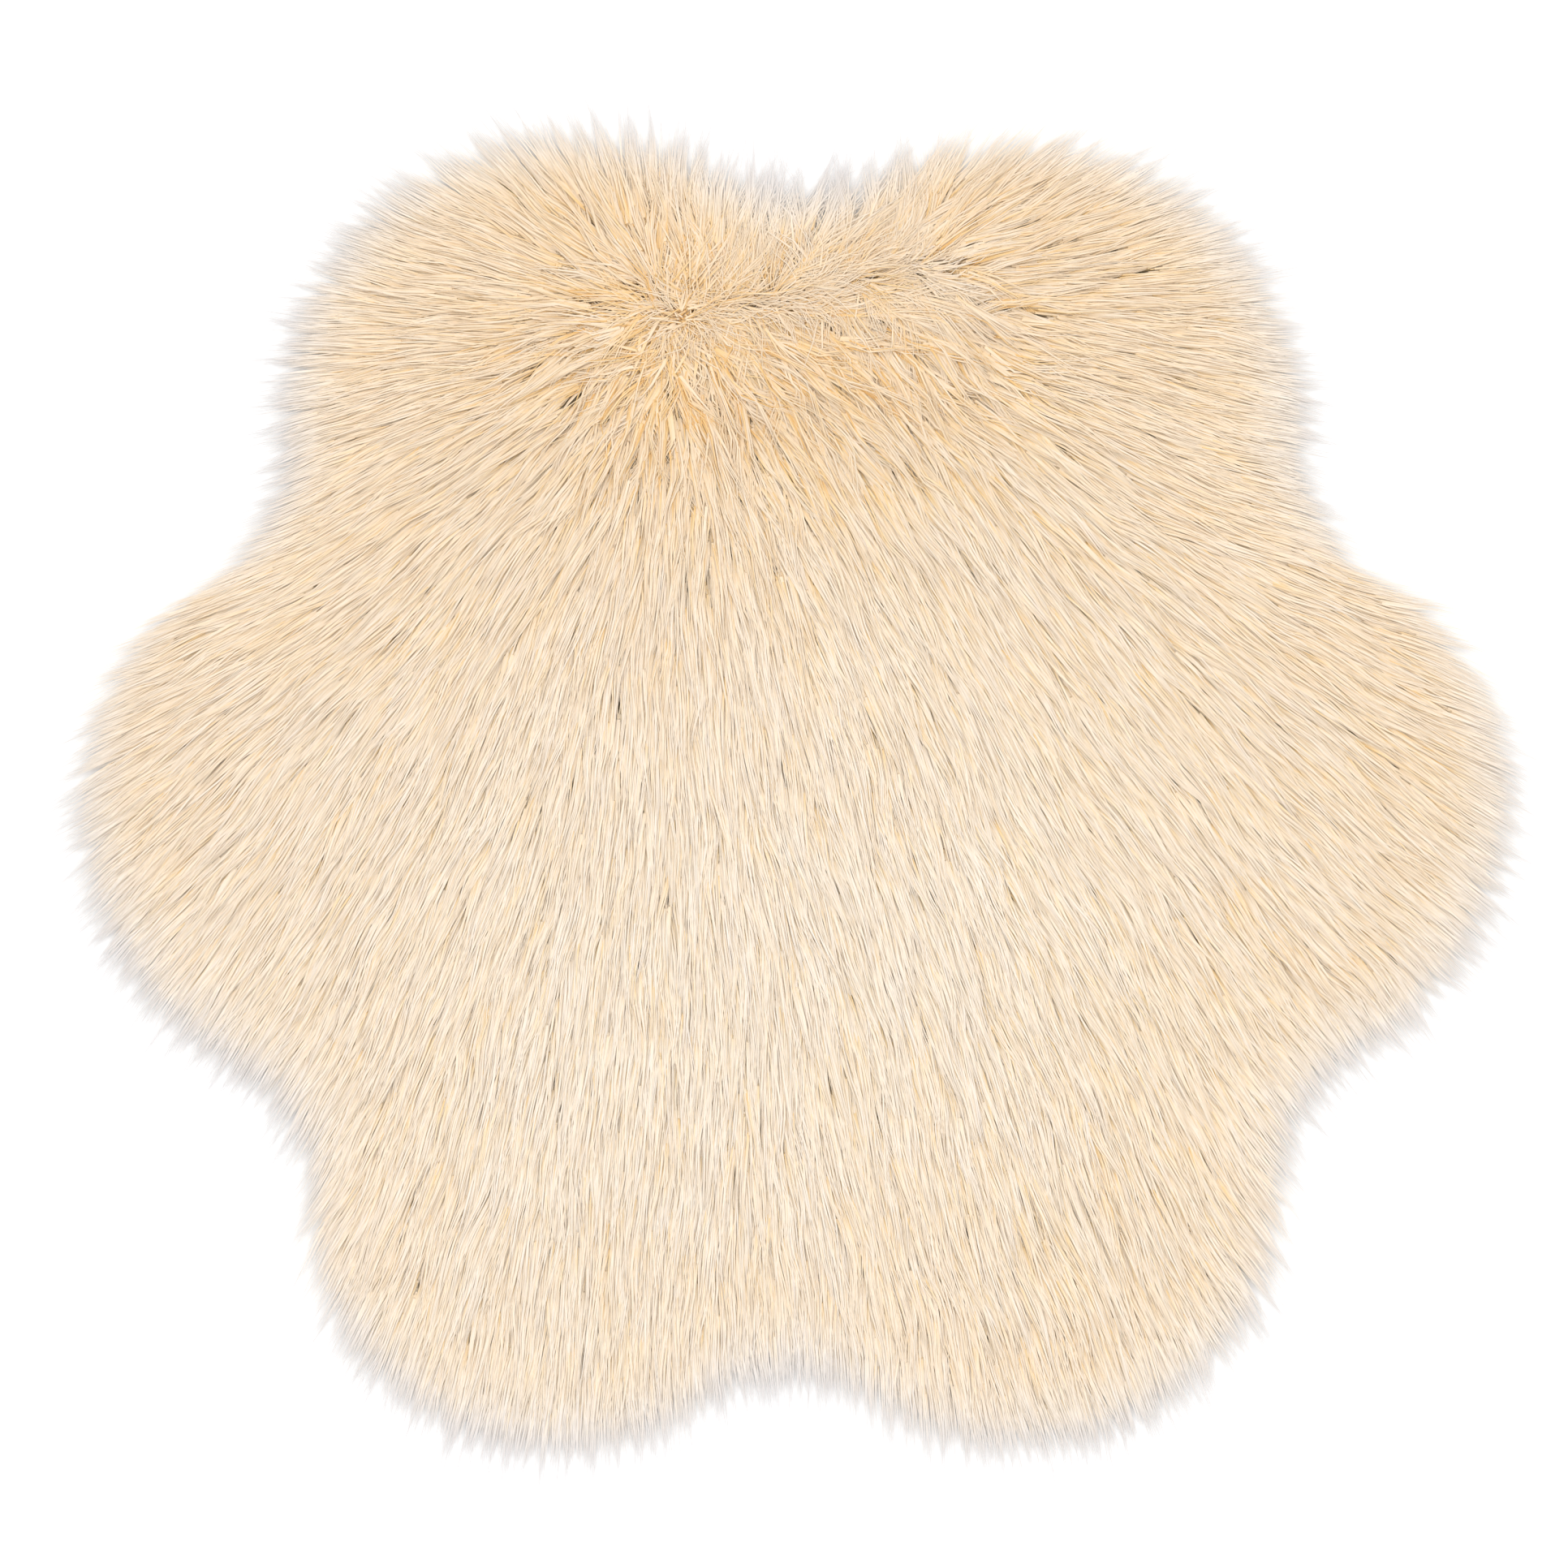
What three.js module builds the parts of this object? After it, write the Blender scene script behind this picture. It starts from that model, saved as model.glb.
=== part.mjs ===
import * as THREE from 'three';

// Flower-shaped shag rug: one cut piece of long-pile fabric that lies flat on the floor.
// Millimetres. Z is up, and +Y runs from the middle towards the parting in the pile.

// The six petals, each a circle out to the tips of its pile, placed round the flower's middle.
const PETALS = [
  { name: 'right', bearing: 0.7, distance: 252, radius: 193 },
  { name: 'upper_right', bearing: 60.2, distance: 261, radius: 188 },
  { name: 'upper_left', bearing: 121.2, distance: 268, radius: 186 },
  { name: 'left', bearing: 180.1, distance: 255, radius: 197 },
  { name: 'lower_left', bearing: 238.1, distance: 275, radius: 175 },
  { name: 'lower_right', bearing: 300.4, distance: 260, radius: 182 },
];
const NOTCH_RADIUS = 59;

// The parting that the pile is combed away from, measured from the flower's middle.
const PARTING = { left: { x: -71, y: 294 }, right: { x: 33, y: 309 } };
const VALLEY_DEPTH = 11;
const VALLEY_REACH = 24;
const CREST_HEIGHT = 3;
const CREST_REACH = 75;

// The lying pile: its height in the middle, and how it falls to the tips at the rim.
const PILE_HEIGHT = 30;
const TIP_HEIGHT = 7;
const TIP_UNDERCUT = 3;
const FALL_REACH = 110;
const FALL_POWER = 2.4;

// Broad locks that the combing leaves, and the tufts that stand along the rim. Each wave is a
// number of whole turns, round the parting or along the rim, with a height and a start angle.
const LOCKS = [
  { turns: 17, height: 0.9, start: 0.4 },
  { turns: 26, height: 0.6, start: 2.1 },
];
const LOCK_BEND = 0.0006;
const TUFTS = [
  { turns: 25, height: 1.3, start: 1.0 },
  { turns: 43, height: 0.8, start: 2.6 },
];

// Mesh fineness: points on each petal and in each notch, and rings from the middle to the rim.
const PETAL_STEPS = 23;
const NOTCH_STEPS = 6;
const RINGS = 23;
const FIRST_RING_SHARE = 0.06;
const RING_CROWDING = 1.35;

const PILE_COLOUR = 0xf6e6cc;

const FULL_TURN = 2 * Math.PI;

function petalCentre(petal) {
  const bearing = THREE.MathUtils.degToRad(petal.bearing);
  return new THREE.Vector2(Math.cos(bearing), Math.sin(bearing)).multiplyScalar(petal.distance);
}

// The small circle in a notch touches both petals from outside.
function notchCentre(petal, next) {
  const from = petalCentre(petal);
  const to = petalCentre(next);
  const reach = petal.radius + NOTCH_RADIUS;
  const nextReach = next.radius + NOTCH_RADIUS;
  const span = from.distanceTo(to);
  const along = (reach ** 2 - nextReach ** 2 + span ** 2) / (2 * span);
  const out = Math.sqrt(reach ** 2 - along ** 2);
  const direction = to.sub(from).divideScalar(span);
  const outward = new THREE.Vector2(direction.y, -direction.x);
  return from.addScaledVector(direction, along).addScaledVector(outward, out);
}

function angleFrom(centre, point) {
  return Math.atan2(point.y - centre.y, point.x - centre.x);
}

// Points along an arc, the last one left to the arc that follows.
function arc(centre, radius, start, sweep, steps) {
  return Array.from({ length: steps }, (_, step) => {
    const angle = start + (sweep * step) / steps;
    return new THREE.Vector2(Math.cos(angle), Math.sin(angle)).multiplyScalar(radius).add(centre);
  });
}

function flowerOutline() {
  const notches = PETALS.map((petal, i) => notchCentre(petal, PETALS[(i + 1) % PETALS.length]));
  const points = [];
  PETALS.forEach((petal, i) => {
    const centre = petalCentre(petal);
    const next = petalCentre(PETALS[(i + 1) % PETALS.length]);
    const before = notches[(i + PETALS.length - 1) % PETALS.length];
    const after = notches[i];
    const petalStart = angleFrom(centre, before);
    const petalSweep = (angleFrom(centre, after) - petalStart + FULL_TURN) % FULL_TURN;
    points.push(...arc(centre, petal.radius, petalStart, petalSweep, PETAL_STEPS));
    const notchStart = angleFrom(after, centre);
    const notchSweep = (angleFrom(after, next) - notchStart - FULL_TURN) % FULL_TURN;
    points.push(...arc(after, NOTCH_RADIUS, notchStart, notchSweep, NOTCH_STEPS));
  });
  return points;
}

function waves(table, turn) {
  return table.reduce((sum, { turns, height, start }) => {
    return sum + height * Math.sin(turns * turn + start);
  }, 0);
}

// The outline moved in or out by the tufts that stand along it.
function tuftedRim(outline) {
  return outline.map((point, i) => {
    const before = outline[(i + outline.length - 1) % outline.length];
    const after = outline[(i + 1) % outline.length];
    const outward = new THREE.Vector2(after.y - before.y, before.x - after.x).normalize();
    const turn = (FULL_TURN * i) / outline.length;
    return point.clone().addScaledVector(outward, waves(TUFTS, turn));
  });
}

function nearestOnParting(point) {
  const left = new THREE.Vector2(PARTING.left.x, PARTING.left.y);
  const along = new THREE.Vector2(PARTING.right.x, PARTING.right.y).sub(left);
  const share = point.clone().sub(left).dot(along) / along.lengthSq();
  return left.addScaledVector(along, THREE.MathUtils.clamp(share, 0, 1));
}

function distanceToRim(point, rim) {
  return Math.min(...rim.map((other) => other.distanceTo(point)));
}

// The top of the pile: a low crown that falls to the rim, with a valley between two soft
// crests at the parting, and shallow locks that run from the parting to the rim.
function topHeight(point, rim) {
  const inward = Math.min(distanceToRim(point, rim) / FALL_REACH, 1);
  const fall = (PILE_HEIGHT - TIP_HEIGHT) * (1 - inward) ** FALL_POWER;
  const root = nearestOnParting(point);
  const away = point.distanceTo(root);
  const valley = VALLEY_DEPTH * Math.exp(-((away / VALLEY_REACH) ** 2));
  const crest = CREST_HEIGHT * Math.exp(-((away / CREST_REACH) ** 2));
  const combed = angleFrom(root, point) + LOCK_BEND * away;
  const strength = inward * Math.min(away / CREST_REACH, 1);
  return PILE_HEIGHT - fall - valley + crest + strength * waves(LOCKS, combed);
}

// Rings lie closest at the rim, where the height changes most.
function ringShare(ring) {
  const share = 1 - (1 - ring / RINGS) ** RING_CROWDING;
  return FIRST_RING_SHARE + (1 - FIRST_RING_SHARE) * share;
}

function pileRing(ring, rim) {
  return rim.map((end) => {
    const point = end.clone().multiplyScalar(ringShare(ring));
    return new THREE.Vector3(point.x, point.y, topHeight(point, rim));
  });
}

// The lowest ring lies on the floor, a little inside the tips.
function floorRing(rim) {
  return rim.map((point, i) => {
    const before = rim[(i + rim.length - 1) % rim.length];
    const after = rim[(i + 1) % rim.length];
    const inward = new THREE.Vector2(before.y - after.y, after.x - before.x).setLength(TIP_UNDERCUT);
    return new THREE.Vector3(point.x + inward.x, point.y + inward.y, 0);
  });
}

// The widest ring is half way up the tips.
function tipRing(rim) {
  return rim.map((point) => new THREE.Vector3(point.x, point.y, TIP_HEIGHT / 2));
}

function capTriangles(ring, firstIndex, facesUp) {
  const flat = ring.map((point) => new THREE.Vector2(point.x, point.y));
  return THREE.ShapeUtils.triangulateShape(flat, []).flatMap(([a, b, c]) => {
    const corners = facesUp ? [a, b, c] : [a, c, b];
    return corners.map((corner) => firstIndex + corner);
  });
}

// A closed body from rings that run from the floor, over the rim, to the middle of the pile.
function closedBody(rings) {
  const around = rings[0].length;
  const triangles = [];
  for (let ring = 0; ring < rings.length - 1; ring += 1) {
    for (let i = 0; i < around; i += 1) {
      const low = ring * around + i;
      const lowNext = ring * around + ((i + 1) % around);
      triangles.push(low, lowNext, lowNext + around, low, lowNext + around, low + around);
    }
  }
  const lastRing = rings.length - 1;
  triangles.push(...capTriangles(rings[0], 0, false));
  triangles.push(...capTriangles(rings[lastRing], lastRing * around, true));
  const geometry = new THREE.BufferGeometry().setFromPoints(rings.flat());
  geometry.setIndex(triangles);
  return geometry;
}

// The part's origin is under the middle of its bounding box.
function centreOnFloor(geometry) {
  geometry.computeBoundingBox();
  const middle = geometry.boundingBox.getCenter(new THREE.Vector3());
  geometry.translate(-middle.x, -middle.y, -geometry.boundingBox.min.z);
  geometry.computeVertexNormals();
  return geometry;
}

function shagRug() {
  const rim = tuftedRim(flowerOutline());
  const innerRim = floorRing(rim).map((point) => new THREE.Vector2(point.x, point.y));
  const pile = Array.from({ length: RINGS + 1 }, (_, ring) => pileRing(RINGS - ring, innerRim));
  const geometry = centreOnFloor(closedBody([floorRing(rim), tipRing(rim), ...pile]));
  const material = new THREE.MeshStandardMaterial({ color: PILE_COLOUR, roughness: 1, metalness: 0 });
  const mesh = new THREE.Mesh(geometry, material);
  mesh.name = 'shag_rug';
  return mesh;
}

const group = new THREE.Group();
group.name = 'flower_shag_rug';
group.add(shagRug());

export default group;
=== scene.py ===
# %% [markdown]
# # A flower-shaped shag rug
# The rug is one piece of long-pile fabric: a thin knitted ground cloth, and long soft hairs that
# are combed away from a short parting. The CAD model gives the space that the lying pile fills.
# This script lays the cloth and grows the hairs inside that space. A real rug has millions of
# hairs. About 170,000 wider ones stand for them here.
#
# Hair can be made with Blender's hair curves, with a displaced surface, or with small mesh
# blades. Curves don't survive an export, and a displaced surface has no loose ends at the rim, so
# the hairs here are mesh blades that Geometry Nodes plants, combs and bends.

# %% Load the frame
import math

import bmesh
import bpy
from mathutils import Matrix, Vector


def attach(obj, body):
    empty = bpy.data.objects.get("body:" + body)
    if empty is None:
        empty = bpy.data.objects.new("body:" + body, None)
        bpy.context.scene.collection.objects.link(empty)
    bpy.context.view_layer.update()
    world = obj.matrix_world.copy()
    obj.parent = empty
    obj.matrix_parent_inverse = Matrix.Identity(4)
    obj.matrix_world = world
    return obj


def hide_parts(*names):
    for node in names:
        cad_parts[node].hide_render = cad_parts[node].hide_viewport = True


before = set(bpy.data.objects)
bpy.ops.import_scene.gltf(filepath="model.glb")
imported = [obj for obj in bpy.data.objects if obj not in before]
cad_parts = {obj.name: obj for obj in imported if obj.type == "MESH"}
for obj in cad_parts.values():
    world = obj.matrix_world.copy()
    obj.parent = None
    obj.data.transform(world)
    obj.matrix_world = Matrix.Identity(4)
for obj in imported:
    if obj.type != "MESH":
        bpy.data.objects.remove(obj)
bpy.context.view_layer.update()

# %% [markdown]
# ## The sizes
# Everything below is worked out from these. The petals are circles round the flower's middle, and
# a small circle rounds each notch, as on a paper pattern. Lengths are in metres.

# %% Sizes of the rug
FLOWER_MIDDLE = Vector((0.0040, -0.0034))
PETALS = [  # bearing in degrees, distance from the middle, radius out to the pile tips
    {"name": "right", "bearing": 0.7, "distance": 0.252, "radius": 0.193},
    {"name": "upper_right", "bearing": 60.2, "distance": 0.261, "radius": 0.188},
    {"name": "upper_left", "bearing": 121.2, "distance": 0.268, "radius": 0.186},
    {"name": "left", "bearing": 180.1, "distance": 0.255, "radius": 0.197},
    {"name": "lower_left", "bearing": 238.1, "distance": 0.275, "radius": 0.175},
    {"name": "lower_right", "bearing": 300.4, "distance": 0.260, "radius": 0.182},
]
NOTCH_RADIUS = 0.059
CLOTH_INSET = 0.040  # the pile reaches this far past the edge of the cloth
CLOTH_THICKNESS = 0.0018
PILE_LENGTH = 0.065
PARTING_LEFT = Vector((-0.0705, 0.2880, 0.0))
PARTING_RIGHT = Vector((0.070, 0.3166, 0.0))
print("parting, mm:", round(1000 * (PARTING_RIGHT - PARTING_LEFT).length))

# %% [markdown]
# ## The outline
# A pattern cutter would draw six circles and round the notches between them. The function does
# the same, and takes an inset, so that one rule gives both the reach of the pile tips and the
# smaller edge of the ground cloth under them.

# %% The flower's outline
def petal_centre(petal):
    bearing = math.radians(petal["bearing"])
    return FLOWER_MIDDLE + petal["distance"] * Vector((math.cos(bearing), math.sin(bearing)))


def notch_centre(petal, following):
    """The middle of the circle that touches two neighbouring petals from outside."""
    start, end = petal_centre(petal), petal_centre(following)
    reach = petal["radius"] + NOTCH_RADIUS
    next_reach = following["radius"] + NOTCH_RADIUS
    span = (end - start).length
    along = (reach**2 - next_reach**2 + span**2) / (2 * span)
    outward = math.sqrt(reach**2 - along**2)
    direction = (end - start) / span
    return start + along * direction + outward * Vector((direction.y, -direction.x))


def arc_points(centre, radius, start, sweep, steps):
    turns = [start + sweep * step / steps for step in range(steps)]
    return [centre + radius * Vector((math.cos(turn), math.sin(turn))) for turn in turns]


def bearing_of(point, centre):
    return math.atan2(point.y - centre.y, point.x - centre.x)


def flower_outline(inset=0.0, petal_steps=40, notch_steps=12):
    points = []
    full_turn = 2 * math.pi
    for i, petal in enumerate(PETALS):
        before, after = PETALS[i - 1], PETALS[(i + 1) % len(PETALS)]
        centre, next_centre = petal_centre(petal), petal_centre(after)
        notch_before = notch_centre(before, petal)
        notch_after = notch_centre(petal, after)
        start = bearing_of(notch_before, centre)
        sweep = (bearing_of(notch_after, centre) - start) % full_turn
        points += arc_points(centre, petal["radius"] - inset, start, sweep, petal_steps)
        start = bearing_of(centre, notch_after)
        sweep = (bearing_of(next_centre, notch_after) - start) % full_turn - full_turn
        points += arc_points(notch_after, NOTCH_RADIUS + inset, start, sweep, notch_steps)
    return points


print("points on the outline:", len(flower_outline()))

# %% [markdown]
# ## The ground cloth
# Real pile fabric has a thin knitted ground that holds the hairs. It is the sheet that a maker
# cuts. Cloth simulation would only lay it flat again, because it lies flat on the floor. A filled
# outline with Solidify gives it the same shape and a real edge.

# %% Cut the ground cloth
def add_to_scene(name, mesh):
    piece = bpy.data.objects.new(name, mesh)
    bpy.context.scene.collection.objects.link(piece)
    return piece


def outline_mesh(name, points, filled):
    """The outline as one flat face, or as a bare line."""
    corners = [(point.x, point.y, 0) for point in points]
    ring = [(i, (i + 1) % len(corners)) for i in range(len(corners))]
    face = tuple(range(len(corners)))
    mesh = bpy.data.meshes.new(name)
    mesh.from_pydata(corners, [] if filled else ring, [face] if filled else [])
    return mesh


def area_inside(points):
    pairs = zip(points, points[1:] + points[:1])
    return abs(sum(a.x * b.y - b.x * a.y for a, b in pairs)) / 2


cloth_edge = flower_outline(CLOTH_INSET)
cloth_area = area_inside(cloth_edge)
ground_cloth = add_to_scene("ground_cloth", outline_mesh("ground_cloth", cloth_edge, filled=True))
thickness = ground_cloth.modifiers.new("thickness", "SOLIDIFY")
thickness.thickness = CLOTH_THICKNESS
thickness.offset = 1
print("ground cloth, square metres:", round(cloth_area, 3))

# %% [markdown]
# ## Helpers for the pile
# The pile needs three shapes that aren't part of the rug: the bed that hairs are sown on, the
# line that their tips reach, and a blade to copy. Long pile has fine guard hairs on top and a
# shorter, thicker under-pile that fills the gaps between them. Both are flat blades that end in a
# point. X runs across a blade, and Y from its root, 0, to its tip, 1. The tree bends each copy.
# There are about 170,000 copies, so a blade has only a few faces.

# %% The blades, and what they are planted on
def hair_blade(name, stations):
    """A flat blade that ends in a point, with a pair of corners at each station."""
    corners = [(0, 0, 0)]
    corners += [(side, station, 0) for station in stations for side in (-0.5, 0.5)]
    corners.append((0, 1, 0))
    last = len(corners) - 1
    faces = [(0, 2, 1)]
    faces += [(i, i + 1, i + 3, i + 2) for i in range(1, last - 2, 2)]
    faces.append((last - 2, last - 1, last))
    mesh = bpy.data.meshes.new(name)
    mesh.from_pydata(corners, [], faces)
    return mesh


seedbed = add_to_scene("seedbed", outline_mesh("seedbed", cloth_edge, filled=True))
rim_line = add_to_scene("rim_line", outline_mesh("rim_line", flower_outline(), filled=False))
guard_blade = add_to_scene("guard_blade", hair_blade("guard_blade", [0.28, 0.55, 0.80]))
under_blade = add_to_scene("under_blade", hair_blade("under_blade", [0.35, 0.72]))
for blade in (guard_blade, under_blade):
    print(blade.name, "faces:", len(blade.data.polygons))

# %% The two kinds of hair
GUARD_HAIR = {
    "Hair": guard_blade,
    "Hairs per square metre": 215_000.0,
    "Pile length": PILE_LENGTH,
    "Hair width": 0.00085,
    "Gathering": 1.0,
    "Rise": 0.385,
    "Tone": 0.0,
    "Length at the rim": 0.94,
    "Seed": 5,
}
UNDER_PILE = {
    "Hair": under_blade,
    "Hairs per square metre": 150_000.0,
    "Pile length": 0.68 * PILE_LENGTH,
    "Hair width": 0.0019,
    "Gathering": 0.15,
    "Rise": 0.496,
    # A little darker than the guard hair: painted golden shade where the under-pile shows between
    # strands.
    "Tone": -0.05,
    "Length at the rim": 0.88,
    "Seed": 40,
}
for title, kind in (("guard hair", GUARD_HAIR), ("under-pile", UNDER_PILE)):
    print(title, "root to tip, mm:", round(1000 * kind["Pile length"]))

# %% [markdown]
# ## Sums in a node tree
# Geometry Nodes does sums one node at a time, which is long to write out. A Wire holds one
# socket, and makes the Math node itself when it is added, subtracted, multiplied, divided or
# raised to a power, so that the tree below can be read as ordinary sums.

# %% A socket that can be used in sums
class Wire:
    def __init__(self, tree, socket):
        self.tree = tree
        self.socket = socket

    def is_vector(self):
        return self.socket.type == "VECTOR"

    def joined(self, operation, other, swapped=False):
        """A Math or Vector Math node for this wire and another wire or number."""
        vectors = self.is_vector() or (isinstance(other, Wire) and other.is_vector())
        first, second = (other, self) if swapped else (self, other)
        if not vectors:
            return self.tree.maths(operation, first, second)
        if operation == "MULTIPLY":
            vector, scale = (self, other) if self.is_vector() else (other, self)
            if not (isinstance(scale, Wire) and scale.is_vector()):
                return self.tree.scaled(vector, scale)
        return self.tree.vectors(operation, first, second)

    def __add__(self, other):
        return self.joined("ADD", other)

    def __radd__(self, other):
        return self.joined("ADD", other, swapped=True)

    def __sub__(self, other):
        return self.joined("SUBTRACT", other)

    def __rsub__(self, other):
        return self.joined("SUBTRACT", other, swapped=True)

    def __mul__(self, other):
        return self.joined("MULTIPLY", other)

    def __rmul__(self, other):
        return self.joined("MULTIPLY", other, swapped=True)

    def __truediv__(self, other):
        return self.joined("DIVIDE", other)

    def __pow__(self, other):
        return self.tree.maths("POWER", self, other)


# %% A tree that is built from wires
class NodeTree:
    def __init__(self, name):
        self.data = bpy.data.node_groups.new(name, "GeometryNodeTree")
        self.entry = self.data.nodes.new("NodeGroupInput")
        self.identifiers = {}

    def named_input(self, name, kind):
        item = self.data.interface.new_socket(name, in_out="INPUT", socket_type=kind)
        self.identifiers[name] = item.identifier
        return Wire(self, next(s for s in self.entry.outputs if s.identifier == item.identifier))

    def finish(self, geometry):
        self.data.interface.new_socket("Geometry", in_out="OUTPUT", socket_type="NodeSocketGeometry")
        leave = self.data.nodes.new("NodeGroupOutput")
        self.data.links.new(geometry.socket, leave.inputs[0])

    def plug(self, value, socket):
        if isinstance(value, Wire):
            self.data.links.new(value.socket, socket)
        elif value is not None:
            socket.default_value = value

    def node(self, kind, *values, **options):
        """A node with its options set and its inputs filled in order. Gives its outputs."""
        node = self.data.nodes.new(kind)
        for option, value in options.items():
            setattr(node, option, value)
        for value, socket in zip(values, [s for s in node.inputs if s.enabled]):
            self.plug(value, socket)
        return [Wire(self, s) for s in node.outputs if s.enabled]

    def maths(self, operation, *values):
        return self.node("ShaderNodeMath", *values, operation=operation)[0]

    def vectors(self, operation, *values):
        return self.node("ShaderNodeVectorMath", *values, operation=operation)[0]

    def scaled(self, vector, scale):
        node = self.data.nodes.new("ShaderNodeVectorMath")
        node.operation = "SCALE"
        self.plug(vector, node.inputs["Vector"])
        self.plug(scale, node.inputs["Scale"])
        return Wire(self, node.outputs["Vector"])


# %% [markdown]
# ## Inputs of the pile's tree
# One tree grows both kinds of hair, so everything that differs between them is a named input.
# The petal's number is an input too, because each petal's pile is a mesh of its own. One mesh of
# all the hairs would be too heavy for its STL file.

# %% The tree and its inputs
cream_pile = bpy.data.materials.new("cream_pile")
tree = NodeTree("combed_pile")
cloth = tree.named_input("Ground cloth", "NodeSocketGeometry")
blade_input = tree.named_input("Hair", "NodeSocketObject")
rim_input = tree.named_input("Rim", "NodeSocketObject")
density = tree.named_input("Hairs per square metre", "NodeSocketFloat")
length = tree.named_input("Pile length", "NodeSocketFloat")
width = tree.named_input("Hair width", "NodeSocketFloat")
gathering = tree.named_input("Gathering", "NodeSocketFloat")
rise_share = tree.named_input("Rise", "NodeSocketFloat")
tone_shift = tree.named_input("Tone", "NodeSocketFloat")
rim_length = tree.named_input("Length at the rim", "NodeSocketFloat")
petal_number = tree.named_input("Petal", "NodeSocketInt")
seed = tree.named_input("Seed", "NodeSocketInt")
look = tree.named_input("Material", "NodeSocketMaterial")
print("inputs of the pile's tree:", len(tree.identifiers))

# %% [markdown]
# ## Words for the tree
# A few short helpers keep the rest readable. A bell is a soft spot: 1 at its middle, and nothing
# a little past its reach. Random numbers are drawn for an identity, so that all the hairs of one
# strand can share a draw, and each draw has a number of its own.

# %% Helpers for soft steps, spots, chance and noise
def bell(distance, reach):
    share = distance / reach
    return tree.maths("EXPONENT", share * share * -1.0)


def smooth_step(value, low, high):
    options = {"interpolation_type": "SMOOTHSTEP"}
    return tree.node("ShaderNodeMapRange", value, low, high, 0.0, 1.0, **options)[0]


def held_between(value, low, high):
    return tree.node("ShaderNodeClamp", value, low, high)[0]


def blend(share, first, second):
    return first + share * (second - first)


def chance(low, high, identity, draw):
    """A number between low and high that is the same for every point with this identity."""
    return tree.node("FunctionNodeRandomValue", low, high, identity, draw)[0]


def noise(place, scale):
    """Smooth noise from -1 to 1."""
    return tree.node("ShaderNodeTexNoise", place, scale, 1.0)[0] * 2.0 - 1.0


def unit(vector):
    return tree.vectors("NORMALIZE", vector)


def length_of(vector):
    return tree.vectors("LENGTH", vector)


def from_spot(place, spot):
    return tree.vectors("SUBTRACT", place, tuple(spot))


# %% [markdown]
# ## The comb
# The pile was brushed away from the parting. Close to the parting its hairs run straight away
# from it, and they also fan out from the parting's left end, where the photo shows a whorl. The
# direction at any place is a mix of the two. Near the rim the hairs turn a little towards it,
# because that is the way they fall.

# %% Which way the pile is combed at a place
TOWARDS_FAN = 0.54  # share of the fan; the rest runs straight away from the parting
TOWARDS_RIM = 0.37
RIM_PULL_FULL = 0.004
RIM_PULL_ENDS = 0.106


def nearest_on_rim(place):
    """The nearest point on the line that the tips reach, and its distance."""
    rim = tree.node("GeometryNodeObjectInfo", rim_input)
    geometry = next(wire for wire in rim if wire.socket.type == "GEOMETRY")
    options = {"target_element": "EDGES"}
    return tree.node("GeometryNodeProximity", geometry, None, place, **options)[:2]


def comb(place):
    """The comb's direction at a place, and the distance from the parting."""
    parting = PARTING_RIGHT - PARTING_LEFT
    from_left = from_spot(place, PARTING_LEFT)
    share = tree.vectors("DOT_PRODUCT", from_left, tuple(parting / parting.length_squared))
    away = from_left - tree.scaled(tuple(parting), held_between(share, 0.0, 1.0))
    near, _ = nearest_on_rim(place)
    closeness = 1.0 - smooth_step(length_of(near - place), RIM_PULL_FULL, RIM_PULL_ENDS)
    fanned = unit(blend(TOWARDS_FAN, unit(away), unit(from_left)))
    return unit(fanned + unit(near - place) * (closeness * TOWARDS_RIM)), length_of(away)


# %% [markdown]
# ## Sowing
# Distribute Points on Faces scatters the roots over the cloth. It reads a density only at the
# corners of a face, and the seedbed is one big face, so it can't be told to sow more thickly at
# the parting. Instead it sows thickly everywhere, and hairs are then taken away at random where
# fewer are wanted. Hairs fan out from the parting, so more of them are left there to cover it.

# %% Sow the hairs and thin them out
MOST_CROWDED = 4.2
CROWDED_RIM = (0.040, 0.075)
CROWDED_RIM_EXTRA = 0.2
here = tree.node("GeometryNodeInputPosition")[0]


def scattered(amount, seed_value):
    kind = "GeometryNodeDistributePointsOnFaces"
    return tree.node(kind, cloth, None, amount, seed_value)[0]


def without(points, condition):
    return tree.node("GeometryNodeDeleteGeometry", points, condition)[0]


_, away_here = comb(here)
near_here, _ = nearest_on_rim(here)
rim_here = 1.0 - smooth_step(length_of(near_here - here), *CROWDED_RIM)
from_whorl_here = length_of(from_spot(here, PARTING_LEFT))
from_right_end_here = length_of(from_spot(here, PARTING_RIGHT))
CROWDED_PLACES = [  # how far away the place is, its reach, and how many more hairs it has
    (away_here, 0.010, 2.0),
    (from_whorl_here, 0.022, 1.0),
    (from_right_end_here, 0.035, 1.2),
    (away_here, 0.080, 0.2),
]
crowding = 0.0
for distance, spread, extra in CROWDED_PLACES:
    crowding = crowding + bell(distance, spread) * extra
crowding = crowding + rim_here * CROWDED_RIM_EXTRA + 1.0
options = {"operation": "GREATER_THAN", "data_type": "FLOAT"}
too_many = tree.node("FunctionNodeCompare", chance(0.0, MOST_CROWDED, None, 30), crowding, **options)[0]
hairs = without(scattered(density * MOST_CROWDED, seed), too_many)
print("guard hairs where nothing is crowded:", round(GUARD_HAIR["Hairs per square metre"] * cloth_area))

# %% [markdown]
# ## Strands and locks
# Long pile isn't even: static and wear gather its hairs into strands a few millimetres wide, and
# the strands into locks. Two sparser scatters give the middles of strands and locks, and each
# hair belongs to the nearest one. What a hair knows, such as its root and its strand, is kept on
# its point with Capture Attribute, so that it is still known after a blade stands there.

# %% Give each hair its strand and its lock
STRANDS_PER_SQUARE_METRE = 26_000.0
LOCKS_PER_SQUARE_METRE = 2_600.0


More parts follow.
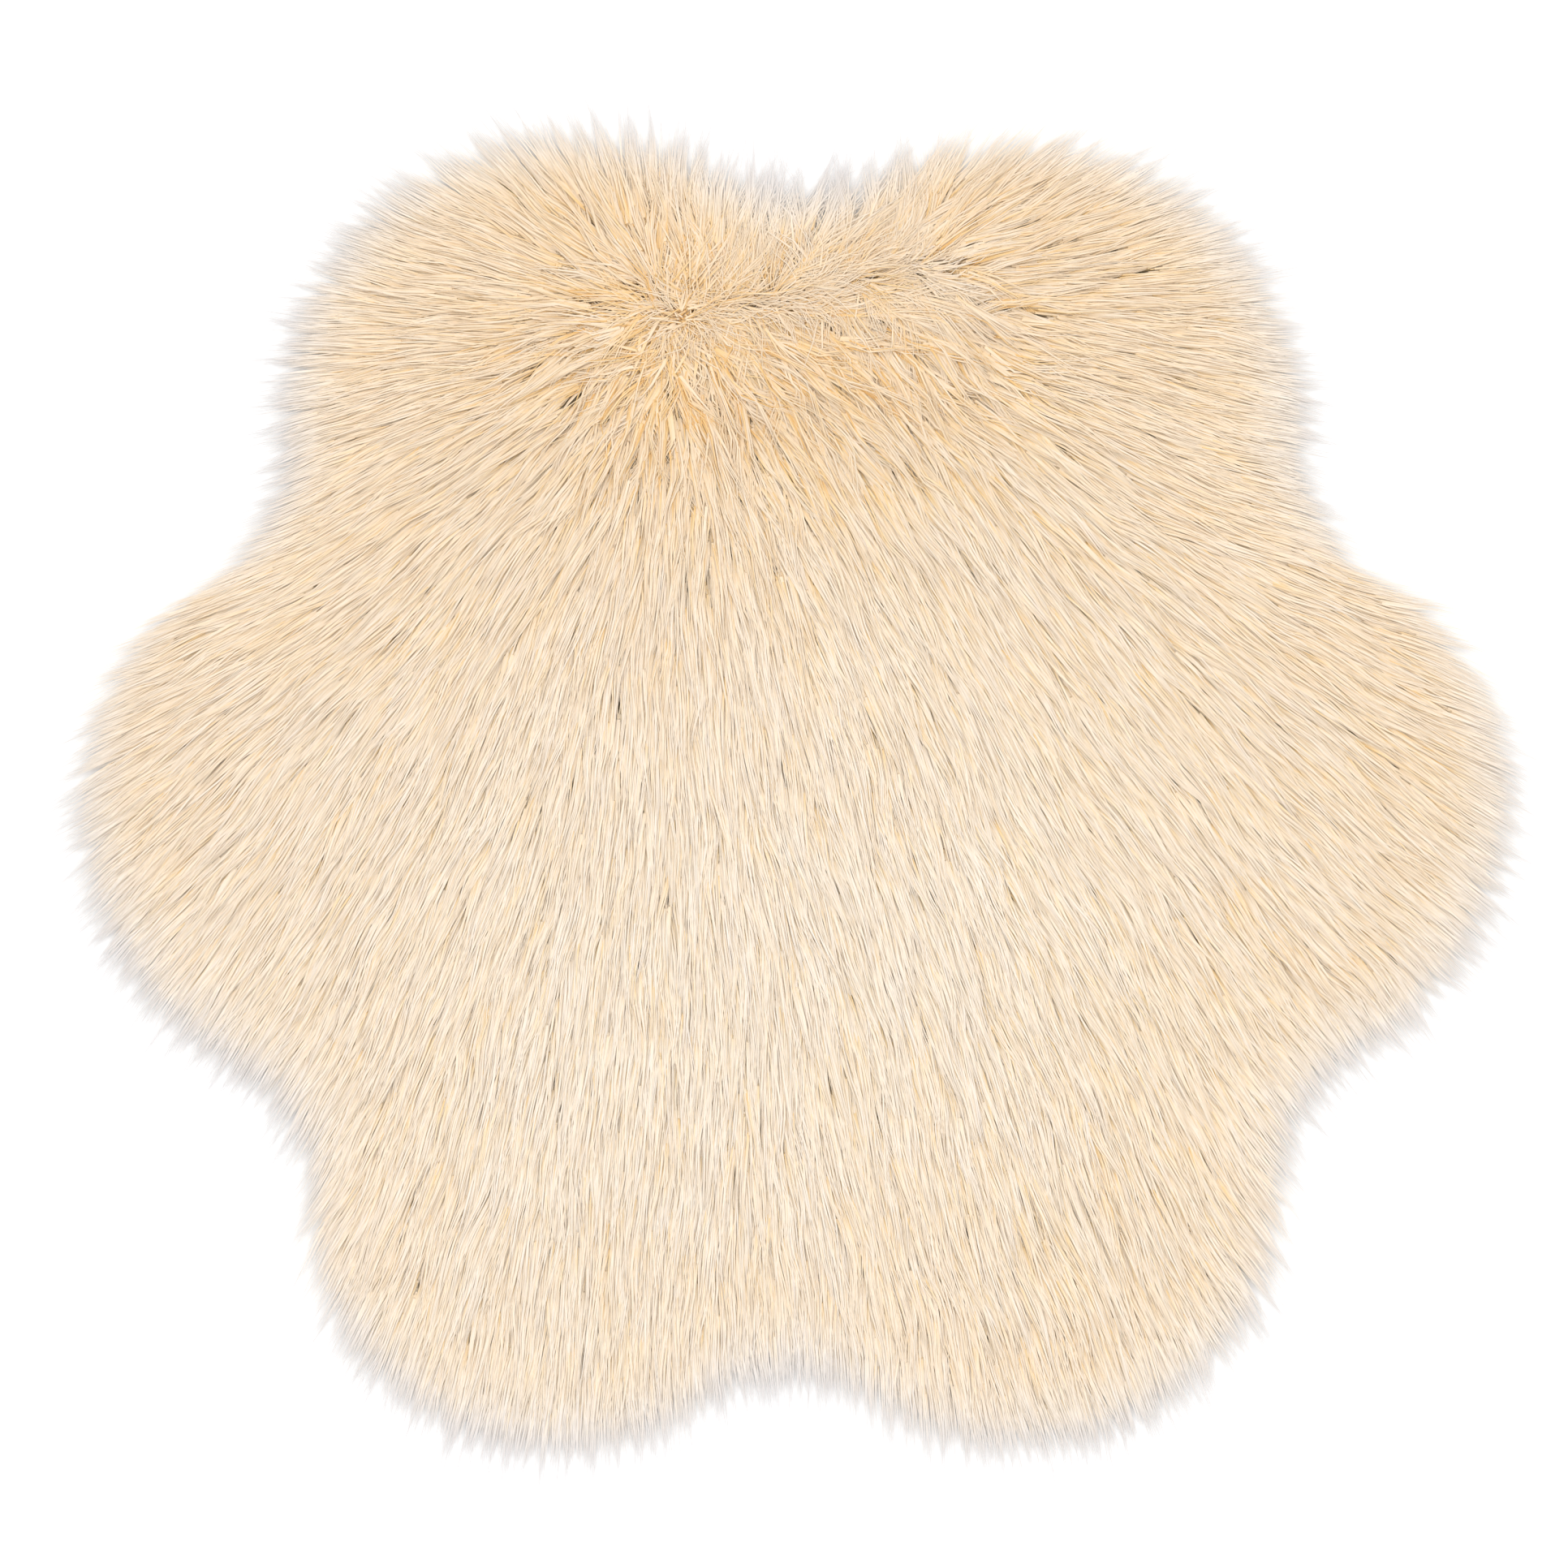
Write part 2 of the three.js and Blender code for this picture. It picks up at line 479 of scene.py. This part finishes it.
def nearest_place(points, place):
    """The number and the place of the nearest of some points."""
    number = tree.node("GeometryNodeSampleNearest", points, place)[0]
    position = tree.node("GeometryNodeInputPosition")[0]
    options = {"data_type": "FLOAT_VECTOR"}
    return number, tree.node("GeometryNodeSampleIndex", points, position, number, **options)[0]


def keep_on_points(geometry, kind, value):
    node = tree.data.nodes.new("GeometryNodeCaptureAttribute")
    node.capture_items.new(kind, "kept")
    tree.plug(geometry, node.inputs[0])
    tree.plug(value, node.inputs[1])
    return Wire(tree, node.outputs[0]), Wire(tree, node.outputs[1])


strands = scattered(STRANDS_PER_SQUARE_METRE, 1)
locks = scattered(LOCKS_PER_SQUARE_METRE, 2)
strand_number, strand_place = nearest_place(strands, here)
lock_number, lock_place = nearest_place(locks, strand_place)
hairs, root = keep_on_points(hairs, "VECTOR", here)
hairs, strand_root = keep_on_points(hairs, "VECTOR", strand_place)
hairs, lock_root = keep_on_points(hairs, "VECTOR", lock_place)
hairs, strand = keep_on_points(hairs, "INT", strand_number)
hairs, lock = keep_on_points(hairs, "INT", lock_number)
hairs, hair = keep_on_points(hairs, "INT", tree.node("GeometryNodeInputIndex")[0])
print("strands on the rug:", round(STRANDS_PER_SQUARE_METRE * cloth_area))
print("locks on the rug:", round(LOCKS_PER_SQUARE_METRE * cloth_area))

# %% Keep one petal's hairs, and stand a blade on each
middle = (FLOWER_MIDDLE.x, FLOWER_MIDDLE.y, 0)
from_middle_x, from_middle_y, _ = tree.node("ShaderNodeSeparateXYZ", from_spot(here, middle))
sixths = tree.maths("ARCTAN2", from_middle_y, from_middle_x) / (math.pi / 3) + 6.5
sector = tree.maths("FLOOR", tree.maths("MODULO", sixths, 6.0))
options = {"operation": "NOT_EQUAL", "data_type": "FLOAT"}
other_petal = tree.node("FunctionNodeCompare", sector, petal_number + 0.0, None, **options)[0]
hairs = without(hairs, other_petal)

blade_shape = tree.node("GeometryNodeObjectInfo", blade_input)
blade_geometry = next(wire for wire in blade_shape if wire.socket.type == "GEOMETRY")
blades = tree.node("GeometryNodeInstanceOnPoints", hairs, None, blade_geometry)[0]
blades = tree.node("GeometryNodeRealizeInstances", blades)[0]
across_now, up_now, _ = tree.node("ShaderNodeSeparateXYZ", here - root)
blades, across = keep_on_points(blades, "FLOAT", across_now)
blades, up = keep_on_points(blades, "FLOAT", up_now)
print("nodes so far, with every blade still a flat upright copy:", len(tree.data.nodes))

# %% [markdown]
# ## Places that differ
# The photo shows four kinds of pile. Right on the parting it is short and fluffy. At the whorl, its left
# end, hairs lie every way. For a hand's width below the parting the strands curl and cross. At the rim
# they are thin, loose and pale; the pale is painted light from the white floor through the thin tips.
# Each is a number from 0 to 1 here, which the later sums multiply with. The parting's right end is one
# more place, which later sums keep from turning into a dark crease with painted light. Sizes are in
# metres.

# %% How near each hair is to the parting, the whorl and the rim
FLUFF_REACH = 0.007
TANGLE_REACH = 0.024
CURLS_REACH = 0.085
WHORL_REACH = 0.014
RIGHT_END_REACH = 0.040
ABOVE_PARTING = (0.270, 0.310)
BESIDE_PARTING = (0.09, 0.20)
RIM_ZONE = (0.040, 0.072)
_, away = comb(root)
near, rim_distance = nearest_on_rim(root)
outward = unit(near - root)
root_across, root_up, _ = tree.node("ShaderNodeSeparateXYZ", root)
above = smooth_step(root_up, *ABOVE_PARTING)
beside = smooth_step(tree.maths("ABSOLUTE", root_across), *BESIDE_PARTING)
fluff = bell(away, FLUFF_REACH)
whorl = bell(length_of(from_spot(root, PARTING_LEFT)), WHORL_REACH)
tangle = bell(away, TANGLE_REACH)
curliness = bell(away, CURLS_REACH) * (1.0 - above * 0.6) * (1.0 - beside * 0.6)
right_end = bell(length_of(from_spot(root, PARTING_RIGHT)), RIGHT_END_REACH)
at_rim = 1.0 - smooth_step(rim_distance, *RIM_ZONE)
print("nodes with the places:", len(tree.data.nodes))

# %% [markdown]
# ## The comb's small errors
# A comb leaves swirls that neighbours share, and every strand and hair strays a little by itself.
# Angles are in radians. A curl grows from root to tip, so it bends the strand, and a swirl turns
# the whole of it.

# %% Turn each hair a little off the comb's direction
WIDE_SWIRLS = 9.0  # swirls in a metre, about
NEAR_SWIRLS = 30.0
comb_direction, _ = comb(blend(fluff, strand_root, root))
wide_swirl = noise(strand_root, WIDE_SWIRLS) * 0.26
near_swirl = noise(strand_root, NEAR_SWIRLS) * (tangle * 0.3 + curliness * 0.3 + 0.14)
strand_stray = chance(-1.0, 1.0, strand, 11) * (tangle * 0.45 + curliness * 0.08 + 0.05)
loose = tangle * 0.03 + fluff * 1.0 + whorl * 3.1 + at_rim * 0.06 + 0.025
hair_stray = chance(-1.0, 1.0, hair, 12) * loose
curl = chance(-1.0, 1.0, strand, 25) * (tangle * 0.6 + curliness * 0.35 + 0.10 - at_rim * 0.05)
turn = (wide_swirl + near_swirl + strand_stray + hair_stray) * (1.0 - at_rim * 0.65) + curl * up
options = {"rotation_type": "Z_AXIS"}
direction = tree.node("ShaderNodeVectorRotate", comb_direction, (0, 0, 0), turn, **options)[0]
sideways = tree.vectors("CROSS_PRODUCT", direction, (0, 0, 1))
print("nodes with the comb's errors:", len(tree.data.nodes))

# %% [markdown]
# ## Length and lift
# A hair that stands in long pile rises from the cloth, leans over and lies down on its
# neighbours. Its path is two powers of the share of its length: forwards it starts slowly, and
# upwards it starts fast and levels off. Hairs in the top notch are longer, because they hang over
# it.

# %% The path of a hair before it is gathered
TOP_NOTCH = Vector((0.008, 0.322, 0.0))
TOP_NOTCH_REACH = 0.035
FORWARD_SHARE = 0.89  # how far a hair reaches forwards, as a share of its length
FORWARD_POWER = 1.3
UPWARD_POWER = 4.0
hair_length = length * chance(0.84, 1.10, hair, 13) * chance(0.94, 1.06, strand, 14)
hair_length = hair_length * (1.0 + at_rim * (rim_length - 1.0 + chance(-0.26, 0.24, hair, 26)))
hair_length = hair_length * (1.0 + bell(length_of(from_spot(root, TOP_NOTCH)), TOP_NOTCH_REACH) * 0.20)
reach = hair_length * FORWARD_SHARE * (1.0 - fluff * (1.0 - at_rim) * 0.45)
strand_lift = chance(-1.0, 1.0, strand, 15) * (curliness * 0.062 + 0.032)
hair_lift = chance(-0.021, 0.021, hair, 16)
rise = hair_length * (rise_share + strand_lift + hair_lift) * (1.0 - tangle * 0.1)
along = reach * up**FORWARD_POWER
height = rise * (1.0 - (1.0 - up) ** UPWARD_POWER) * (1.0 - up**2.5 * 0.18)
print("a guard hair reaches, mm:", round(1000 * PILE_LENGTH * FORWARD_SHARE))

# %% [markdown]
# ## Gathering
# The hairs of a strand start apart and come together towards their tips, and the strands of a lock do so
# more weakly. Hairs at the edge of a strand also lie deeper, which leaves the thin grooves that the photo
# shows between strands; their golden colour is painted shade in the lightness below. At the rim the hairs
# stay loose.

# %% Pull the hairs together into strands and locks
STRAND_HALF_WIDTH = 0.0029
LOCK_HALF_WIDTH = 0.010
loosened = at_rim * (0.60 - bell(away, 0.060) * 0.25)
hold = gathering * (1.0 - loosened) * (1.0 - fluff * 0.4)
strand_side = tree.vectors("DOT_PRODUCT", strand_root - root, sideways)
lock_side = tree.vectors("DOT_PRODUCT", lock_root - strand_root, sideways)
strand_pull = smooth_step(up, 0.0, 1.0 - curliness * 0.5) * hold * (curliness * 0.24 + 0.60)
lock_pull = up * up * hold * 0.16
side_shift = strand_side * strand_pull + lock_side * lock_pull


def edge_share(side, half_width, most):
    """How near the edge of its strand or lock a hair is, more steeply towards the edge."""
    share = side / half_width
    return tree.maths("MINIMUM", share * share, most)


strand_edge = edge_share(strand_side, STRAND_HALF_WIDTH, 1.4)
lock_edge = edge_share(lock_side, LOCK_HALF_WIDTH, 1.6)
gap_depth = up * hold * (curliness * 3.0 + 0.8)
height = height - strand_edge * gap_depth * 0.0005 - lock_edge * gap_depth * 0.0006
print("strand width, mm:", round(2000 * STRAND_HALF_WIDTH, 1))

# %% [markdown]
# ## Waves
# No lock is straight. Smooth noise read along the strand's own path makes neighbours bend
# together. A sine with a random phase gives each strand an S shape, strongest below the parting.

# %% Bend the strands sideways
WIDE_WAVES = 24.0  # waves in a metre, about
NARROW_WAVES = 50.0
SWING_ANGLE = 7.5  # radians of the sine from root to tip
path_now = blend(at_rim, strand_root, root) + direction * along
wave = noise(path_now, WIDE_WAVES) * 0.0040
wave = wave + noise(path_now, NARROW_WAVES) * (curliness * 0.0036 + 0.0012)
swing = tree.maths("SINE", up * SWING_ANGLE + chance(0.0, 2 * math.pi, strand, 27))
swing = swing * chance(0.3, 1.0, strand, 28) * (curliness * 0.0075 + 0.0006)
side_shift = side_shift + (wave + swing) * up
print("swings from root to tip:", round(SWING_ANGLE / (2 * math.pi), 1))

# %% [markdown]
# ## The fall to the rim
# Past the edge of the cloth nothing holds the pile up, so it sinks to the floor. The nearer a
# point comes to the line of the tips, the more of its height it loses.

# %% Let the pile down towards the rim
FALL_BEGINS = 0.110
LOST_AT_THE_RIM = 0.80
FALL_POWER = 2.4
LOWEST_HAIR = 0.0004
out_here = tree.vectors("DOT_PRODUCT", direction * along + sideways * side_shift, outward)
inside = held_between((rim_distance - out_here) / FALL_BEGINS, 0.0, 1.0)
fall = 1.0 - (1.0 - inside) ** FALL_POWER * LOST_AT_THE_RIM
height = tree.maths("MAXIMUM", height * fall, LOWEST_HAIR)
lifted = tree.node("ShaderNodeCombineXYZ", 0.0, 0.0, height)[0]
centre_line = root + direction * along + sideways * side_shift + lifted
print("nodes with the fall:", len(tree.data.nodes))

# %% [markdown]
# ## Setting the blades
# A blade keeps its width across its path and turns a little about it, as a ribbon would, so that
# blades catch the light differently. The slopes are those of the two powers above.

# %% Bend every blade along its path
slope_along = reach * FORWARD_POWER * up ** (FORWARD_POWER - 1.0) + 0.0001
slope_up = rise * fall * UPWARD_POWER * (1.0 - up) ** (UPWARD_POWER - 1.0)
tangent = unit(direction * slope_along + tree.node("ShaderNodeCombineXYZ", 0.0, 0.0, slope_up)[0])
over = tree.vectors("CROSS_PRODUCT", sideways, tangent)
roll = chance(-0.30, 0.30, hair, 17) + up * chance(-0.25, 0.25, hair, 18)
edge = sideways * tree.maths("COSINE", roll) + over * tree.maths("SINE", roll)
blade_width = width * (1.0 - up**2.5) * chance(0.7, 1.3, hair, 19)
blade_width = blade_width * (1.0 - at_rim * 0.3) * (1.0 - fluff * 0.3)
new_place = centre_line + edge * (across * blade_width)
pile_geometry = tree.node("GeometryNodeSetPosition", blades, None, new_place)[0]
print("nodes with the bending:", len(tree.data.nodes))

# %% [markdown]
# ## A colour chart for the hairs
# The pile is darker and more golden at the roots and between strands, which is painted golden shade of
# the deep pile and of the grooves, cream on top, and almost white in the thin fringe, which is painted
# light from the white floor through the thin tips. The material can't know where a hair stands, so the
# tree writes two numbers on each corner as a UV map: how pale the hair is, and how light it is there. The
# material then looks the colour up, as a dyer would on a shade card. An export can bake such a map as one
# small picture. The first cell works out the lightness.

# %% How light each part of a hair is
# The pale fringe is painted light from the white floor through the thin tips.
PALE_FRINGE = 0.045  # the fringe pales from here out to the line of the tips
painted_fringe = held_between(1.0 - (rim_distance - out_here) / PALE_FRINGE, 0.0, 1.0)
# Darker and more golden towards the root: painted golden shade of the deep pile.
lightness = 0.11 + smooth_step(up, 0.0, 0.50) * 0.48 + up * 0.05 + tone_shift
# Darker at the edges of strands and locks: painted shade of the grooves between them.
painted_edge_shade = strand_edge * (curliness * 0.22 + 0.08) + lock_edge * (curliness * 0.04 + 0.04)
lightness = lightness - painted_edge_shade * (gathering + 0.1)
lightness = lightness + chance(-1.0, 1.0, strand, 20) * (curliness * 0.06 + 0.05)
lightness = lightness + chance(-0.08, 0.08, hair, 21)
# Towards the rim the lightness goes to the ramp's pale grey top: painted light from the white floor
# through the thin tips, with painted grey shade.
lightness = blend(painted_fringe * smooth_step(up, 0.0, 0.5), lightness, 0.97)
# Lighter in the fluff and at the parting's right end, painted light against their shadows. Darker in the
# curls, and darker towards the right with painted shade.
lightness = lightness + fluff * 0.06 - curliness * 0.05 + right_end * 0.10 - root_across * 0.08
lightness = held_between(lightness, 0.06, 0.99)
print("nodes with the lightness:", len(tree.data.nodes))

# %% How pale or golden each hair is
GOLDEN_RIM = (0.050, 0.200)
GOLDEN_PARTING_REACH = 0.110
PALE_AND_GOLDEN_SPOTS = [  # place, reach, and how much paler it is
    ((-0.08, -0.14, 0.0), 0.26, 0.20),
    ((0.04, -0.02, 0.0), 0.22, 0.22),
    ((-0.30, 0.18, 0.0), 0.24, -0.18),
]
pale = 0.60 + chance(-0.08, 0.08, strand, 22) + chance(-0.06, 0.06, lock, 23)
pale = pale + chance(-0.05, 0.05, hair, 24) + noise(strand_root, 14.0) * 0.09
pale = pale - (1.0 - smooth_step(rim_distance, *GOLDEN_RIM)) * 0.14
pale = pale - tree.maths("EXPONENT", away / -GOLDEN_PARTING_REACH) * 0.60
pale = pale - root_up * 0.30 - root_across * 0.10
for spot, spread, change in PALE_AND_GOLDEN_SPOTS:
    pale = pale + bell(length_of(from_spot(root, spot)), spread) * change
# Near the rim the tint turns neutral, for the painted pale fringe.
pale = held_between(blend(painted_fringe, pale, 0.96), 0.04, 0.96)
print("pale and golden spots:", len(PALE_AND_GOLDEN_SPOTS))

# %% Write the chart on the hairs and end the tree
chart = tree.node("ShaderNodeCombineXYZ", pale + across * 0.06, lightness, 0.0)[0]
options = {"data_type": "FLOAT2", "domain": "CORNER"}
kind = "GeometryNodeStoreNamedAttribute"
pile_geometry = tree.node(kind, pile_geometry, None, "OFBake", chart, **options)[0]
pile_geometry = tree.node("GeometryNodeSetMaterial", pile_geometry, None, look)[0]
tree.finish(pile_geometry)
print("nodes in the whole tree:", len(tree.data.nodes))

# %% [markdown]
# ## Growing the pile
# A host object wears the tree as a modifier, once for each petal and kind of hair. The evaluated
# result is copied to a plain mesh, and the host is removed, so no live modifier is left. Guard
# hair and under-pile of one petal are then joined.

# %% Grow one petal's hairs
def grown(petal_index, kind):
    """One petal's hairs of one kind, as a plain mesh."""
    host = add_to_scene("pile_host", seedbed.data)
    modifier = host.modifiers.new("pile", "NODES")
    modifier.node_group = tree.data
    settings = kind | {"Rim": rim_line, "Petal": petal_index, "Material": cream_pile}
    for name, value in settings.items():
        modifier[tree.identifiers[name]] = value
    shown = host.evaluated_get(bpy.context.evaluated_depsgraph_get())
    mesh = bpy.data.meshes.new_from_object(shown)
    bpy.data.objects.remove(host)
    return mesh


def joined_mesh(name, parts):
    build = bmesh.new()
    for part in parts:
        build.from_mesh(part)
        bpy.data.meshes.remove(part)
    whole = bpy.data.meshes.new(name)
    build.to_mesh(whole)
    build.free()
    whole.materials.append(cream_pile)
    return whole


# %% Grow the whole pile, petal by petal
pile = []
for i, petal in enumerate(PETALS):
    name = "pile_" + petal["name"]
    piece = add_to_scene(name, joined_mesh(name, [grown(i, GUARD_HAIR), grown(i, UNDER_PILE)]))
    pile.append(piece)
    triangles = sum(len(face.vertices) - 2 for face in piece.data.polygons)
    print(name, "triangles:", triangles)

for helper in (seedbed, rim_line, guard_blade, under_blade):
    bpy.data.objects.remove(helper)

# %% [markdown]
# ## The pile's colour
# Cream acrylic pile is matt and a little uneven in shade along each hair. The chart's second number runs
# up a ramp from golden roots, which are painted golden shade of the deep pile, through cream to a pale
# grey fringe, which is painted light from the white floor with painted grey shade, and its first number
# tints the result from golden to neutral. Noise that is stretched along the chart adds fine streaks. The
# same streaks change the roughness a little and groove the surface.

# %% Helpers for the materials
def shader_node(material, kind, place, **options):
    node = material.node_tree.nodes.new(kind)
    node.location = place
    for option, value in options.items():
        setattr(node, option, value)
    return node


def spread_value(material, source, place, low, high, source_range=(0.0, 1.0)):
    """A Map Range node from a source's range to low and high."""
    node = shader_node(material, "ShaderNodeMapRange", place)
    numbers = {"From Min": source_range[0], "From Max": source_range[1], "To Min": low, "To Max": high}
    for name, number in numbers.items():
        node.inputs[name].default_value = number
    material.node_tree.links.new(source, node.inputs["Value"])
    return node.outputs["Result"]


def mixed_colour(material, place, factor, first, second, **options):
    """A Mix node's result. A Mix node for colours uses only its enabled sockets."""
    node = shader_node(material, "ShaderNodeMix", place, data_type="RGBA", **options)
    sockets = [socket for socket in node.inputs if socket.enabled]
    for value, socket in zip((factor, first, second), sockets):
        if isinstance(value, bpy.types.NodeSocket):
            material.node_tree.links.new(value, socket)
        else:
            socket.default_value = value
    return next(socket for socket in node.outputs if socket.enabled)


def groove(material, height, strength, distance):
    """A Bump node on the material's shader."""
    node = shader_node(material, "ShaderNodeBump", (-250, -350))
    node.inputs["Strength"].default_value = strength
    node.inputs["Distance"].default_value = distance
    material.node_tree.links.new(height, node.inputs["Height"])
    shader = material.node_tree.nodes["Principled BSDF"]
    material.node_tree.links.new(node.outputs["Normal"], shader.inputs["Normal"])


def linear(colour):
    """Blender's linear colour for a screen colour from 0 to 255."""
    return [((value / 255 + 0.055) / 1.055) ** 2.4 for value in colour] + [1.0]


# %% Streaks along the hairs
STREAK_STRETCH = (90, 2.2, 1)  # how much the chart is stretched for the noise
cream_pile.use_nodes = True
wire_up = cream_pile.node_tree.links.new
pile_shader = cream_pile.node_tree.nodes["Principled BSDF"]
shade_card = shader_node(cream_pile, "ShaderNodeUVMap", (-1300, 0), uv_map="OFBake")
card_axes = shader_node(cream_pile, "ShaderNodeSeparateXYZ", (-1100, 0))
wire_up(shade_card.outputs["UV"], card_axes.inputs[0])
stretch = shader_node(cream_pile, "ShaderNodeVectorMath", (-1100, 300), operation="MULTIPLY")
stretch.inputs[1].default_value = STREAK_STRETCH
wire_up(shade_card.outputs["UV"], stretch.inputs[0])
streaks = shader_node(cream_pile, "ShaderNodeTexNoise", (-900, 300), noise_dimensions="2D")
streaks.inputs["Scale"].default_value = 1.0
streaks.inputs["Detail"].default_value = 2.0
wire_up(stretch.outputs[0], streaks.inputs["Vector"])
streak = streaks.outputs[0]

# %% From golden roots to pale tips
SHADES = [  # place on the ramp, screen colour
    # The root stop, darker and golden: painted golden shade of the deep pile.
    (0.0, (236, 192, 124)),
    (0.22, (249, 223, 173)),
    (0.45, (251, 238, 218)),
    (0.78, (251, 244, 236)),
    # The fringe's neutral grey: painted light takes the gold out, and painted shade greys it.
    (0.97, (232, 230, 232)),
]
streaked = shader_node(cream_pile, "ShaderNodeMath", (-700, 150), operation="ADD")
wire_up(card_axes.outputs["Y"], streaked.inputs[0])
wire_up(spread_value(cream_pile, streak, (-700, 350), -0.12, 0.10, (0.3, 0.7)), streaked.inputs[1])
shades = shader_node(cream_pile, "ShaderNodeValToRGB", (-500, 150))
wire_up(streaked.outputs[0], shades.inputs["Fac"])
stops = shades.color_ramp.elements
stops.remove(stops[1])
for i, (place, colour) in enumerate(SHADES):
    stop = stops[0] if i == 0 else stops.new(place)
    stop.position = place
    stop.color = linear(colour)
print("shades on the card:", len(stops))

# %% Tint, roughness and grooves
GOLDEN = (0.97, 0.88, 0.75, 1.0)
NEUTRAL = (1.0, 0.99, 0.98, 1.0)
tint = mixed_colour(cream_pile, (-500, -150), card_axes.outputs["X"], GOLDEN, NEUTRAL)
shade = shades.outputs["Color"]
tinted = mixed_colour(cream_pile, (-250, 50), 1.0, shade, tint, blend_type="MULTIPLY")
wire_up(tinted, pile_shader.inputs["Base Color"])
wire_up(spread_value(cream_pile, streak, (-500, 450), 0.60, 0.90), pile_shader.inputs["Roughness"])
pile_shader.inputs["Specular IOR Level"].default_value = 0.25
groove(cream_pile, streak, strength=0.3, distance=0.0002)

# %% [markdown]
# ## The knitted ground
# The photo doesn't show the ground. It is made as a plain knit with stitches about 2 mm apart, and is
# golden cream like the pile's roots, as a little of it may show between strands. Two wave textures that
# cross make the stitches. They read Object coordinates, so they keep their real size. The stitches' tops
# are paler and smoother than the hollows between them; the darker hollows are painted shade.

# %% Knit the ground cloth's material
STITCH = 0.0022
WAVES_PER_UNIT = 20 / (2 * math.pi)  # a wave texture's bands in one unit at scale 1
knitted_ground = bpy.data.materials.new("knitted_ground")
knitted_ground.use_nodes = True
ground_shader = knitted_ground.node_tree.nodes["Principled BSDF"]
knit_up = knitted_ground.node_tree.links.new
knit_place = shader_node(knitted_ground, "ShaderNodeTexCoord", (-1100, 0))
stitches = shader_node(knitted_ground, "ShaderNodeMath", (-650, 0), operation="MULTIPLY")
for i, axis in enumerate(("X", "Y")):
    rows = shader_node(knitted_ground, "ShaderNodeTexWave", (-900, 200 - 300 * i), bands_direction=axis)
    rows.inputs["Scale"].default_value = 1 / (STITCH * WAVES_PER_UNIT)
    rows.inputs["Distortion"].default_value = 0.6
    knit_up(knit_place.outputs["Object"], rows.inputs["Vector"])
    knit_up(rows.outputs["Fac"], stitches.inputs[i])
stitch = stitches.outputs[0]
# The hollows between stitches are darker with painted shade; the tops keep the knit's own colour.
SHADED_HOLLOW = (0.70, 0.54, 0.32, 1.0)
YARN_TOP = (0.90, 0.79, 0.60, 1.0)
yarn_and_hollow_shade = mixed_colour(knitted_ground, (-400, 100), stitch, SHADED_HOLLOW, YARN_TOP)
knit_up(yarn_and_hollow_shade, ground_shader.inputs["Base Color"])
knit_up(spread_value(knitted_ground, stitch, (-400, -150), 0.95, 0.75), ground_shader.inputs["Roughness"])
groove(knitted_ground, stitch, strength=0.6, distance=0.0004)
ground_cloth.data.materials.append(knitted_ground)
print("stitches across a petal:", round(2 * PETALS[0]["radius"] / STITCH))

# %% [markdown]
# ## Floor and light
# The photo is a studio picture on white, with soft light from all round and about as much again
# from above. A white floor, a pale world and one broad overhead lamp give the same. The lamp leans a
# little, so one side of each strand is darker.

# %% Lay the floor and light it
FLOOR_SIZE = 12
FLOOR_GAP = 0.0005
WORLD_STRENGTH = 0.55
LAMP_STRENGTH = 1.94
LAMP_ANGLE = 35
LAMP_DIRECTION = Vector((0.0, -0.08, -1.0))
bpy.ops.mesh.primitive_plane_add(size=FLOOR_SIZE)
floor = bpy.context.object
floor.name = "floor"
floor.location.z = -FLOOR_GAP
white_floor = bpy.data.materials.new("white_floor")
white_floor.use_nodes = True
floor_shader = white_floor.node_tree.nodes["Principled BSDF"]
floor_shader.inputs["Base Color"].default_value = (1, 1, 1, 1)
floor_shader.inputs["Roughness"].default_value = 1.0
floor.data.materials.append(white_floor)

studio = bpy.data.worlds.new("studio")
bpy.context.scene.world = studio
studio.use_nodes = True
background = studio.node_tree.nodes["Background"]
background.inputs["Color"].default_value = (1, 1, 1, 1)
background.inputs["Strength"].default_value = WORLD_STRENGTH
bpy.context.scene.view_settings.view_transform = "Standard"

lamp = bpy.data.lights.new("overhead_lamp", "SUN")
lamp.energy = LAMP_STRENGTH
lamp.angle = math.radians(LAMP_ANGLE)
overhead_lamp = add_to_scene("overhead_lamp", lamp)
overhead_lamp.rotation_euler = LAMP_DIRECTION.to_track_quat("-Z", "Y").to_euler()
print("lamp angle, degrees:", round(math.degrees(lamp.angle)))

# %% [markdown]
# ## The camera
# The photo looks straight down. Its scale comes from the rug: 1815 of its 1932 pixels are 0.9 m.
# The camera stands high, so it sees almost without perspective, and its middle is the photo's
# middle, which is a few pixels from the middle of the rug.

# %% Look straight down
METRES_PER_PIXEL = 0.9 / 1815
PHOTO_PIXELS = 1932
PHOTO_MIDDLE = (-9.7, 5.6)  # pixels from the middle of the rug's box
CAMERA_HEIGHT = 6.0
PILE_TOP = 0.02
camera = bpy.data.cameras.new("camera")
camera.sensor_width = 36
camera.lens = camera.sensor_width * (CAMERA_HEIGHT - PILE_TOP) / (PHOTO_PIXELS * METRES_PER_PIXEL)
eye = add_to_scene("camera", camera)
camera_across, camera_up = (METRES_PER_PIXEL * shift for shift in PHOTO_MIDDLE)
eye.location = (camera_across, camera_up, CAMERA_HEIGHT)
bpy.context.scene.camera = eye
print("lens, mm:", round(camera.lens))

# %% [markdown]
# ## Attaching the pieces to the body
# All the pieces stand in for the CAD model's one soft solid, which is hidden, and move with its one body.
# The ground cloth is a flower cut from a rectangle, laid flat on the floor, and the pile goes with it.

# %% Hand the pieces over
for piece in [ground_cloth, *pile]:
    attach(piece, "root")
    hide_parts("shag_rug")
